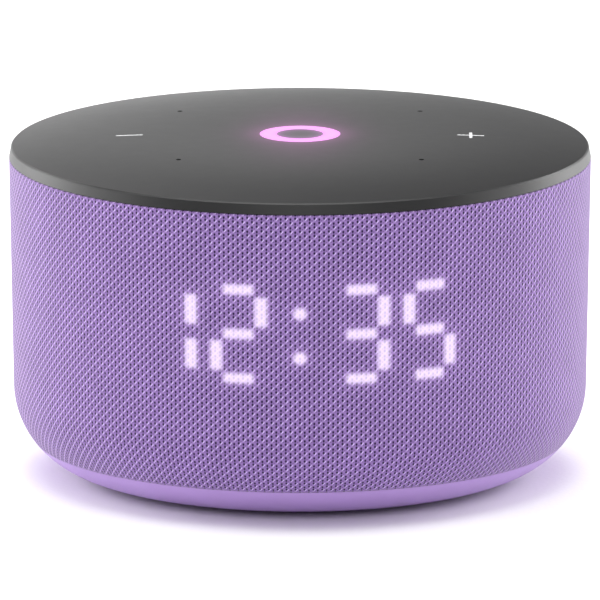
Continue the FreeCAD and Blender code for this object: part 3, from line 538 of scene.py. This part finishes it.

# %% [markdown]
# ## The knit's finish
#
# The material repeats the same layout as the mesh, only finer. It works out which column and which repeat a
# point is in, and from that its distance to the nearest hole. Holes are dark, because one looks through them
# at the black moulding. The light that the diagonal yarns catch is painted into their colour as a highlight.
#
# The pattern could have been an image, but an image has one size and a seam. Worked out from the angle round
# the body, it has neither.

# %% Work out the stitches in nodes
yarn, tree, shader = start_finish("knit_yarn", (0.30, 0.20, 0.43), 0.85, Specular_IOR_Level=0.12)
shader.inputs["Sheen Weight"].default_value = 0.27
shader.inputs["Sheen Roughness"].default_value = 0.45
shader.inputs["Sheen Tint"].default_value = (1.0, 1.0, 0.9, 1)

x_at, y_at, _ = place_xyz(tree)
angle = calc(tree, "ARCTAN2", x_at, calc(tree, "MULTIPLY", y_at, -1.0))
column = calc(tree, "MULTIPLY", angle, column_count / (2 * math.pi))
repeat = node(tree, "ShaderNodeAttribute", attribute_name="course").outputs["Fac"]


def wrapped(value):
    """A value's distance from the nearest whole number, with its sign."""
    return calc(tree, "SUBTRACT", value, calc(tree, "ROUND", value))


def hole(column_phase, repeat_phase, width, height):
    """1 in the middle of a hole, fading to 0 at its rim, on every column of one kind."""
    shifted = calc(tree, "SUBTRACT", column, column_phase)
    own_column = calc(tree, "ROUND", shifted)
    sideways = calc(tree, "SUBTRACT", shifted, own_column)
    climb = calc(tree, "MULTIPLY", calc(tree, "ADD", own_column, column_phase), 0.5)
    up = wrapped(calc(tree, "SUBTRACT", calc(tree, "SUBTRACT", repeat, climb), repeat_phase))
    side_part = calc(tree, "POWER", calc(tree, "DIVIDE", calc(tree, "ABSOLUTE", sideways), width), 2.0)
    up_part = calc(tree, "POWER", calc(tree, "DIVIDE", calc(tree, "ABSOLUTE", up), height), 2.0)
    far_out = calc(tree, "POWER", calc(tree, "ADD", side_part, up_part), 1.5)
    return calc(tree, "EXPONENT", calc(tree, "MULTIPLY", far_out, -1.0))


pair_spacing = 0.39
main_hole = (0.23, 0.165)
small_hole = (0.17, 0.10)
small_depth = 0.42
crest_phase = 0.27
main_holes = calc(tree, "ADD", hole(0.0, 0.0, *main_hole), hole(0.0, pair_spacing, *main_hole))
small_holes = calc(tree, "ADD", hole(0.5, 0.0, *small_hole), hole(0.5, 0.5, *small_hole))
holes = calc(tree, "ADD", main_holes, calc(tree, "MULTIPLY", small_holes, small_depth))
climbed = calc(tree, "SUBTRACT", repeat, calc(tree, "MULTIPLY", column, 0.5))
diagonal = wrapped(calc(tree, "SUBTRACT", climbed, yarn_phase))
crest_angle = calc(tree, "MULTIPLY", calc(tree, "SUBTRACT", column, crest_phase), 2 * math.pi)
crest = between(tree, calc(tree, "COSINE", crest_angle), -0.4, 1.0, 0.08, 1.0)
on_diagonal = between(tree, calc(tree, "ABSOLUTE", diagonal), 0.15, 0.02)
# mask of the raised diagonal yarn: its height for the bump, and where its painted highlight goes
highlit_raised_yarn = calc(tree, "MULTIPLY", on_diagonal, crest)
print("knit nodes:", len(tree.nodes))

# %% [markdown]
# The yarn's colour runs from a deep violet down in the holes to a pale lavender on the diagonals. The lavender
# is a painted highlight where the raised yarn catches the light. Slow, faint clouds run through it where the
# dye took differently, and very fine noise roughens it like fibres.

# %% Colour the yarn and paint its highlight
hole_colour = (0.012, 0.004, 0.036)
yarn_colour = (0.278, 0.167, 0.432)
# pale lavender painted highlight on the diagonal yarn crests, not a dye of its own
highlight_colour = (0.760, 0.600, 0.980)
clouds = between(tree, noise(tree, 140.0, 4.0), 0.3, 0.7, 0.94, 1.06)
fibres = between(tree, noise(tree, 4200.0, 2.0, 0.7), 0.25, 0.75, 0.88, 1.12)
on_yarn = mix_colour(tree, calc(tree, "MULTIPLY", highlit_raised_yarn, 0.95), yarn_colour, highlight_colour)
# the dye clouds and fibres scale a colour that already holds the painted highlight
dye_and_highlight = scaled(tree, on_yarn, calc(tree, "MULTIPLY", clouds, fibres))
hole_depth = calc(tree, "MINIMUM", calc(tree, "MULTIPLY", holes, 1.15), 1.0)
knit_colour = mix_colour(tree, hole_depth, dye_and_highlight, hole_colour)
thread_height = calc(tree, "SUBTRACT", calc(tree, "MULTIPLY", highlit_raised_yarn, 0.6), holes)
fibre_height = calc(tree, "MULTIPLY", fibres, 0.15)
yarn_thickness = 0.16 * MM
bump(tree, shader, calc(tree, "ADD", thread_height, fibre_height), yarn_thickness, 0.55)
print("yarn coloured")

# %% [markdown]
# ## The clock's glow
#
# Light that comes through cloth has a bright core and a soft skirt. The core is white with a breath of
# violet, brightest on the yarns that stand proud. The skirt takes the cloth's own colour, because that light
# has passed through more of it. Both come from the stored distance, in millimetres. In the core the cloth's
# colour is also drawn towards one even violet, or the dark holes would show through the light.

# %% Let the light through
bar_distance = node(tree, "ShaderNodeAttribute", attribute_name="bar_distance").outputs["Fac"]
core_starts = 0.5
core_full = -0.75
skirt_fade = 1.1
core_strength = 0.6
skirt_strength = 0.17
even_violet = (0.24, 0.17, 0.33)
core_range = {
    "Value": bar_distance,
    "From Min": core_starts,
    "From Max": core_full,
    "To Min": 0.0,
    "To Max": 1.0,
}
core = node(tree, "ShaderNodeMapRange", core_range, interpolation_type="SMOOTHSTEP").outputs[0]
outside = calc(tree, "MAXIMUM", bar_distance, 0.0)
skirt = calc(tree, "EXPONENT", calc(tree, "MULTIPLY", outside, -skirt_fade))
knit_shadow = calc(tree, "SUBTRACT", 1.0, calc(tree, "MULTIPLY", hole_depth, 0.22))
core_light = calc(tree, "MULTIPLY", calc(tree, "MULTIPLY", core, knit_shadow), core_strength)
skirt_light = calc(tree, "MULTIPLY", calc(tree, "MULTIPLY", skirt, knit_shadow), skirt_strength)
core_part = scaled(tree, (0.98, 0.88, 1.0), core_light)
skirt_part = scaled(tree, (0.72, 0.50, 0.95), skirt_light)
glow = node(tree, "ShaderNodeVectorMath", {0: core_part, 1: skirt_part}, operation="ADD")
put(tree, shader.inputs["Emission Color"], glow.outputs[0])
shader.inputs["Emission Strength"].default_value = 1.0
evened = mix_colour(tree, calc(tree, "MULTIPLY", core, 0.7), knit_colour, even_violet)
put(tree, shader.inputs["Base Color"], evened)
sleeve_mesh.materials.append(yarn)
print("clock lit")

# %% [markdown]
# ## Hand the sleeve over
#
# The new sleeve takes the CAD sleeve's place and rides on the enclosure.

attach(sleeve, "enclosure")
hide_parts("fabric_sleeve")

# %% [markdown]
# ## Putting a finish on a CAD piece
#
# The CAD's shapes are right, so most pieces keep them and only change their material. This helper swaps the
# material of one or more pieces.

# %% Write the dressing helper


def dress(finish, *names):
    """Puts a finish on CAD pieces."""
    for name in names:
        piece = cad[name]
        piece.data.materials.clear()
        piece.data.materials.append(finish)


print("dressing helper ready")

# %% [markdown]
# ## The touch panel
#
# The top is one dark moulding with a soft-touch coat: nearly black, with a broad, blurred reflection. A coat
# like this is sprayed, so it has an orange peel far finer than a millimetre, and its gloss varies a little
# from place to place. Both are noise.
#
# Light from the ring also leaks sideways into the coat and tints it pink for a few millimetres, and a wider,
# fainter haze of it lies over the middle. Both are a small emission that fades with distance, which costs
# nothing next to tracing light inside the coat.

# %% Finish the touch panel
lens_flange = 1.6 * MM
ring_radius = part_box("light_ring")[1][0] - lens_flange
panel_colour = (0.014, 0.014, 0.0145)
panel_coat, tree, shader = start_finish("panel_coat", panel_colour, 0.40, Specular_IOR_Level=0.42)
patches = noise(tree, 60.0, 3.0)
tint = mix_colour(tree, patches, shade(panel_colour, 0.94), shade(panel_colour, 1.06))
put(tree, shader.inputs["Base Color"], tint)
put(tree, shader.inputs["Roughness"], between(tree, noise(tree, 350.0, 3.0), 0.3, 0.7, 0.393, 0.407))
bump(tree, shader, noise(tree, 5200.0, 2.0, 0.6), 0.002 * MM, 0.6)
x_at, y_at, _ = place_xyz(tree)
from_middle = from_axis(tree, x_at, y_at)
past_ring = calc(tree, "MAXIMUM", calc(tree, "SUBTRACT", from_middle, ring_radius), 0.0)
leak_fade = 450.0
haze_width = 9.0 * MM
haze_depth = 20.0 * MM
leak_share = 0.5
haze_share = 0.42
leak = calc(tree, "EXPONENT", calc(tree, "MULTIPLY", past_ring, -leak_fade))
haze_x = calc(tree, "POWER", calc(tree, "ABSOLUTE", calc(tree, "DIVIDE", x_at, haze_width)), 2.0)
haze_y = calc(tree, "POWER", calc(tree, "ABSOLUTE", calc(tree, "DIVIDE", y_at, haze_depth)), 2.0)
haze = calc(tree, "EXPONENT", calc(tree, "MULTIPLY", calc(tree, "ADD", haze_x, haze_y), -1.0))
pink = calc(tree, "ADD", calc(tree, "MULTIPLY", leak, leak_share), calc(tree, "MULTIPLY", haze, haze_share))
put(tree, shader.inputs["Emission Color"], scaled(tree, (0.30, 0.10, 0.26), pink))
shader.inputs["Emission Strength"].default_value = 0.75
dress(panel_coat, "top_panel")
print("ring radius:", round(ring_radius / MM, 1), "mm")

# %% [markdown]
# ## The lit ring
#
# The ring is a milky light guide over eight small lamps. The milk evens them out, but not completely: eight faint
# ripples are left round the ring, and it is softer at its two edges. The glow is an emission whose colour follows
# the radius and the ripple.

# %% Light the ring
ring_finish, tree, shader = start_finish("ring_light", (0.20, 0.10, 0.20), 0.35)
x_at, y_at, _ = place_xyz(tree)
band_middle = 6.3 * MM
band_edge = 1.75 * MM
band_bright = 0.5 * MM
lamp_count = 8
off_centre = calc(tree, "ABSOLUTE", calc(tree, "SUBTRACT", from_axis(tree, x_at, y_at), band_middle))
band = between(tree, off_centre, band_edge, band_bright, 0.55, 1.0)
angle = calc(tree, "ARCTAN2", x_at, y_at)
ripple = calc(tree, "MULTIPLY", calc(tree, "COSINE", calc(tree, "MULTIPLY", angle, lamp_count)), 0.04)
milk = between(tree, noise(tree, 900.0), 0.3, 0.7, 0.97, 1.03)
level = calc(tree, "MULTIPLY", calc(tree, "ADD", band, ripple), milk)
ring_glow = mix_colour(tree, level, (0.72, 0.12, 0.78), (0.93, 0.27, 0.93))
put(tree, shader.inputs["Emission Color"], ring_glow)
shader.inputs["Emission Strength"].default_value = 1.0
bump(tree, shader, noise(tree, 3000.0), 0.003 * MM)
dress(ring_finish, "light_ring")
print("ring lit")

# %% [markdown]
# ## The disc in the ring and the two marks
#
# The disc inside the ring is the panel's own plastic with the ring's light spilling over it from all sides,
# so it is dark in the middle and violet at its rim. The minus and plus are pale inlays, slightly rough, as a
# printed ink is.

# %% Finish the disc and the marks
disc_finish, tree, shader = start_finish("disc_coat", (0.05, 0.042, 0.052), 0.38)
x_at, y_at, _ = place_xyz(tree)
spill_edge = 4.6 * MM
spill_fade = 900.0
to_edge = calc(tree, "SUBTRACT", spill_edge, from_axis(tree, x_at, y_at))
spill = calc(tree, "EXPONENT", calc(tree, "MULTIPLY", to_edge, -spill_fade))
put(tree, shader.inputs["Emission Color"], scaled(tree, (0.42, 0.14, 0.44), spill))
shader.inputs["Emission Strength"].default_value = 0.6
bump(tree, shader, noise(tree, 5200.0), 0.004 * MM)
dress(disc_finish, "ring_centre")

mark_ink, tree, shader = start_finish("mark_ink", (0.62, 0.62, 0.63), 0.55)
speckle = noise(tree, 7000.0, 2.0)
put(tree, shader.inputs["Base Color"], mix_colour(tree, speckle, (0.55, 0.55, 0.56), (0.70, 0.70, 0.71)))
bump(tree, shader, speckle, 0.004 * MM)
dress(mark_ink, "minus_mark", "plus_mark")
print("disc and marks finished")

# %% [markdown]
# ## Moulded plastics
#
# Most of the rest is moulded. A steel mould is eroded by sparks, which leaves thousands of tiny craters, and
# the plastic copies them. So one recipe makes every moulded finish: a colour that drifts slightly, craters
# from fine noise, and a gloss that varies with them. What changes from one plastic to the next is the colour,
# the size of the craters and how shiny they leave the surface.

# %% Write the moulding recipe


def moulded(name, colour, roughness, grain=3500.0, depth=0.006):
    """A moulded plastic. The grain is in craters per metre and the depth in millimetres."""
    made, tree, shader = start_finish(name, colour, roughness)
    drift = noise(tree, 90.0, 3.0)
    put(tree, shader.inputs["Base Color"], mix_colour(tree, drift, shade(colour, 0.93), shade(colour, 1.07)))
    craters = noise(tree, grain, 2.0, 0.6)
    gloss = between(tree, craters, 0.3, 0.7, roughness - 0.05, roughness + 0.05)
    put(tree, shader.inputs["Roughness"], gloss)
    bump(tree, shader, craters, depth * MM, 0.8)
    return made


base_plastic = moulded("base_moulding", (0.43, 0.275, 0.62), 0.42, 4200.0, 0.004)
button_plastic = moulded("button_moulding", (0.33, 0.215, 0.46), 0.34, 5200.0, 0.003)
inner_plastic = moulded("inner_moulding", (0.018, 0.014, 0.024), 0.55)
black_plastic = moulded("black_moulding", (0.014, 0.014, 0.015), 0.48)
white_plastic = moulded("white_moulding", (0.62, 0.61, 0.58), 0.45)
dress(base_plastic, "base_cup", "port_panel")
dress(button_plastic, "mute_button")
dress(inner_plastic, "grille_shell", "chassis")
dress(white_plastic, "mute_plunger", "light_well")
dress(black_plastic, "mute_switch", "usb_tongue", "box_tub", "box_lid", "passive_frame", "display_mask")
dress(black_plastic, "display_holder", "ribbon_sockets")
print("mouldings:", 5)

# %% [markdown]
# ## Rubbers
#
# Silicone and rubber are softer looking than plastic: rougher, with a faint dusty bloom that lightens them at
# a glancing angle. The bloom is the shader's sheen. The foot ring is tinted to go with the base.

# %% Mix the rubbers


def rubbery(name, colour, bloom):
    """A rubber with a dusty bloom."""
    made, tree, shader = start_finish(name, colour, 0.75, Sheen_Weight=bloom, Sheen_Roughness=0.6)
    dust = noise(tree, 400.0, 5.0, 0.65)
    put(tree, shader.inputs["Base Color"], mix_colour(tree, dust, shade(colour, 0.85), shade(colour, 1.2)))
    bump(tree, shader, noise(tree, 2500.0, 3.0), 0.01 * MM)
    return made


foot_silicone = rubbery("foot_silicone", (0.10, 0.075, 0.13), 0.15)
black_rubber = rubbery("black_rubber", (0.015, 0.015, 0.016), 0.10)
dress(foot_silicone, "foot_ring")
dress(black_rubber, "mic_gaskets", "box_seal", "surround", "passive_surround")
print("rubbers: 2")

# %% [markdown]
# ## Metals
#
# Stamped and turned metal parts show fine lines in the direction they were made. Noise that is squeezed along
# one axis makes those lines. The screws are blackened, the passive plate is anodised, the basket is powder
# coated and the magnet is a ground ceramic, so those four use noise without a direction.

# %% Finish the metals


def worked_metal(name, colour, roughness, stretch=(1, 1, 14), grain=700.0):
    """A metal whose fine lines run across the axis that its noise is squeezed along."""
    made, tree, shader = start_finish(name, colour, roughness, Metallic=1.0)
    lines = noise(tree, grain, 4.0, 0.6, stretch)
    put(tree, shader.inputs["Base Color"], mix_colour(tree, lines, shade(colour, 0.88), shade(colour, 1.1)))
    put(tree, shader.inputs["Roughness"], between(tree, lines, 0.3, 0.7, roughness - 0.07, roughness + 0.07))
    bump(tree, shader, lines, 0.003 * MM)
    return made


nickel = worked_metal("nickel_plate", (0.60, 0.59, 0.57), 0.28)
tin = worked_metal("tin_plate", (0.58, 0.58, 0.57), 0.36, (14, 1, 1))
zinc = worked_metal("zinc_plate", (0.50, 0.51, 0.54), 0.34, (1, 1, 10))
black_zinc = worked_metal("black_zinc", (0.06, 0.06, 0.065), 0.40, (1, 1, 1), 1800.0)
gold_flash = worked_metal("gold_flash", (0.80, 0.62, 0.30), 0.30, (1, 1, 6))
dark_anodised = worked_metal("dark_anodised", (0.16, 0.16, 0.17), 0.38, (1, 1, 1), 2400.0)
dress(nickel, "usb_receptacle")
dress(tin, "shield_can", "microphones")
dress(zinc, "driver_front_plate", "driver_yoke")
dress(black_zinc, "base_screws", "board_screws", "chassis_screws", "driver_screws")
dress(gold_flash, "touch_springs")
dress(dark_anodised, "passive_plate")
powder_coat = moulded("powder_coat", (0.02, 0.02, 0.022), 0.5, 1500.0, 0.02)
ferrite = moulded("ground_ferrite", (0.035, 0.034, 0.036), 0.6, 900.0, 0.012)
dress(powder_coat, "driver_basket")
dress(ferrite, "driver_magnet")
print("metals: 6")

# %% [markdown]
# ## The voice coil
#
# The coil is fine enamelled copper wire wound side by side. Waves across its height draw the turns: the same
# sine rounds them with a bump and paints a shade in the groove between two wires and a highlight on each crest.

# %% Wind the coil
wire_pitch = 0.25 * MM
coil_copper, tree, shader = start_finish("coil_copper", (0.62, 0.25, 0.10), 0.32, Metallic=0.9)
z_at = place_xyz(tree)[2]
turns = calc(tree, "SINE", calc(tree, "MULTIPLY", z_at, 2 * math.pi / wire_pitch))
wire_round_and_shade = between(tree, turns, -1.0, 1.0)
# dark copper in each groove is painted shade, pale copper on each crest a painted highlight
put(tree, shader.inputs["Base Color"], mix_colour(tree, wire_round_and_shade, (0.22, 0.07, 0.03), (0.72, 0.32, 0.14)))
bump(tree, shader, wire_round_and_shade, 0.05 * MM)
dress(coil_copper, "coil_winding")
print("coil wound at", round(wire_pitch / MM, 2), "mm")

# %% [markdown]
# ## Paper cone and spider cloth
#
# The cone and its cap are pressed from paper pulp, so they are matt with short fibres in every direction. The
# spider is open cloth stiffened with resin: amber, with a plain weave. The weave is two sine waves at right
# angles multiplied together.

# %% Press the cone and weave the spider
pulp, tree, shader = start_finish("pressed_pulp", (0.022, 0.022, 0.024), 0.8, Specular_IOR_Level=0.3)
fibres = noise(tree, 1600.0, 6.0, 0.75)
put(tree, shader.inputs["Base Color"], mix_colour(tree, fibres, (0.012, 0.012, 0.013), (0.045, 0.045, 0.048)))
bump(tree, shader, fibres, 0.05 * MM)
dress(pulp, "cone", "dust_cap", "coil_former")

cloth_pitch = 0.5 * MM
resin_cloth, tree, shader = start_finish("resin_cloth", (0.42, 0.20, 0.05), 0.6)
x_at, y_at, _ = place_xyz(tree)
warp = calc(tree, "SINE", calc(tree, "MULTIPLY", x_at, 2 * math.pi / cloth_pitch))
weft = calc(tree, "SINE", calc(tree, "MULTIPLY", y_at, 2 * math.pi / cloth_pitch))
woven = between(tree, calc(tree, "MULTIPLY", warp, weft), -1.0, 1.0)
put(tree, shader.inputs["Base Color"], mix_colour(tree, woven, (0.22, 0.09, 0.02), (0.52, 0.27, 0.08)))
bump(tree, shader, woven, 0.04 * MM)
dress(resin_cloth, "spider")
print("paper and cloth ready")

# %% [markdown]
# ## Circuit boards, chips, ribbons and wires
#
# A board is green lacquer over copper. Where copper runs under it the green is lighter and stands a hair
# proud. A Voronoi texture measured with square distances makes believable patches of copper without drawing
# any. Chips are plain epoxy with a very fine grain, and the lamps are covered with yellow phosphor.

# %% Lay out the boards
board_green, tree, shader = start_finish("board_lacquer", (0.01, 0.10, 0.05), 0.3)
where = node(tree, "ShaderNodeTexCoord").outputs["Object"]
cells = node(tree, "ShaderNodeTexVoronoi", {"Vector": where, "Scale": 420.0}, distance="CHEBYCHEV")
copper = between(tree, cells.outputs["Distance"], 0.30, 0.36)
put(tree, shader.inputs["Base Color"], mix_colour(tree, copper, (0.006, 0.07, 0.032), (0.02, 0.17, 0.08)))
bump(tree, shader, copper, 0.02 * MM)
dress(board_green, "main_board", "io_board", "driver_terminal")
flex_black = moulded("flex_lacquer", (0.012, 0.012, 0.013), 0.30, 2500.0)
dress(flex_black, "display_board")
chip_epoxy = moulded("chip_epoxy", (0.02, 0.02, 0.022), 0.5, 6000.0)
dress(chip_epoxy, "processor_chips", "io_components")
print("boards laid out")

# %% Finish the lamps, light pipes, ribbons and wires
phosphor = moulded("lamp_phosphor", (0.70, 0.60, 0.22), 0.35, 3000.0)
dress(phosphor, "ring_leds", "display_leds")
pipe_dark = moulded("pipe_milk", (0.38, 0.34, 0.42), 0.32, 1800.0)
dress(pipe_dark, "dark_bars")

pipe_lit, tree, shader = start_finish("pipe_lit", (0.85, 0.80, 0.92), 0.32)
milk = between(tree, noise(tree, 500.0), 0.3, 0.7, 0.85, 1.0)
put(tree, shader.inputs["Emission Color"], mix_colour(tree, milk, (0.70, 0.55, 0.95), (1.0, 0.92, 1.0)))
shader.inputs["Emission Strength"].default_value = 1.0
dress(pipe_lit, "lit_bars")

film, tree, shader = start_finish("ribbon_film", (0.50, 0.48, 0.44), 0.28)
x_at = place_xyz(tree)[0]
track_pitch = 1.0 * MM
track_wave = calc(tree, "SINE", calc(tree, "MULTIPLY", x_at, 2 * math.pi / track_pitch))
tracks = between(tree, track_wave, -0.2, 0.2)
put(tree, shader.inputs["Base Color"], mix_colour(tree, tracks, (0.30, 0.28, 0.24), (0.62, 0.60, 0.56)))
bump(tree, shader, tracks, 0.02 * MM)
dress(film, "display_ribbon", "io_ribbon")
wire_jacket = moulded("wire_jacket", (0.26, 0.015, 0.02), 0.35, 2000.0)
dress(wire_jacket, "speaker_wires")
print("small parts finished")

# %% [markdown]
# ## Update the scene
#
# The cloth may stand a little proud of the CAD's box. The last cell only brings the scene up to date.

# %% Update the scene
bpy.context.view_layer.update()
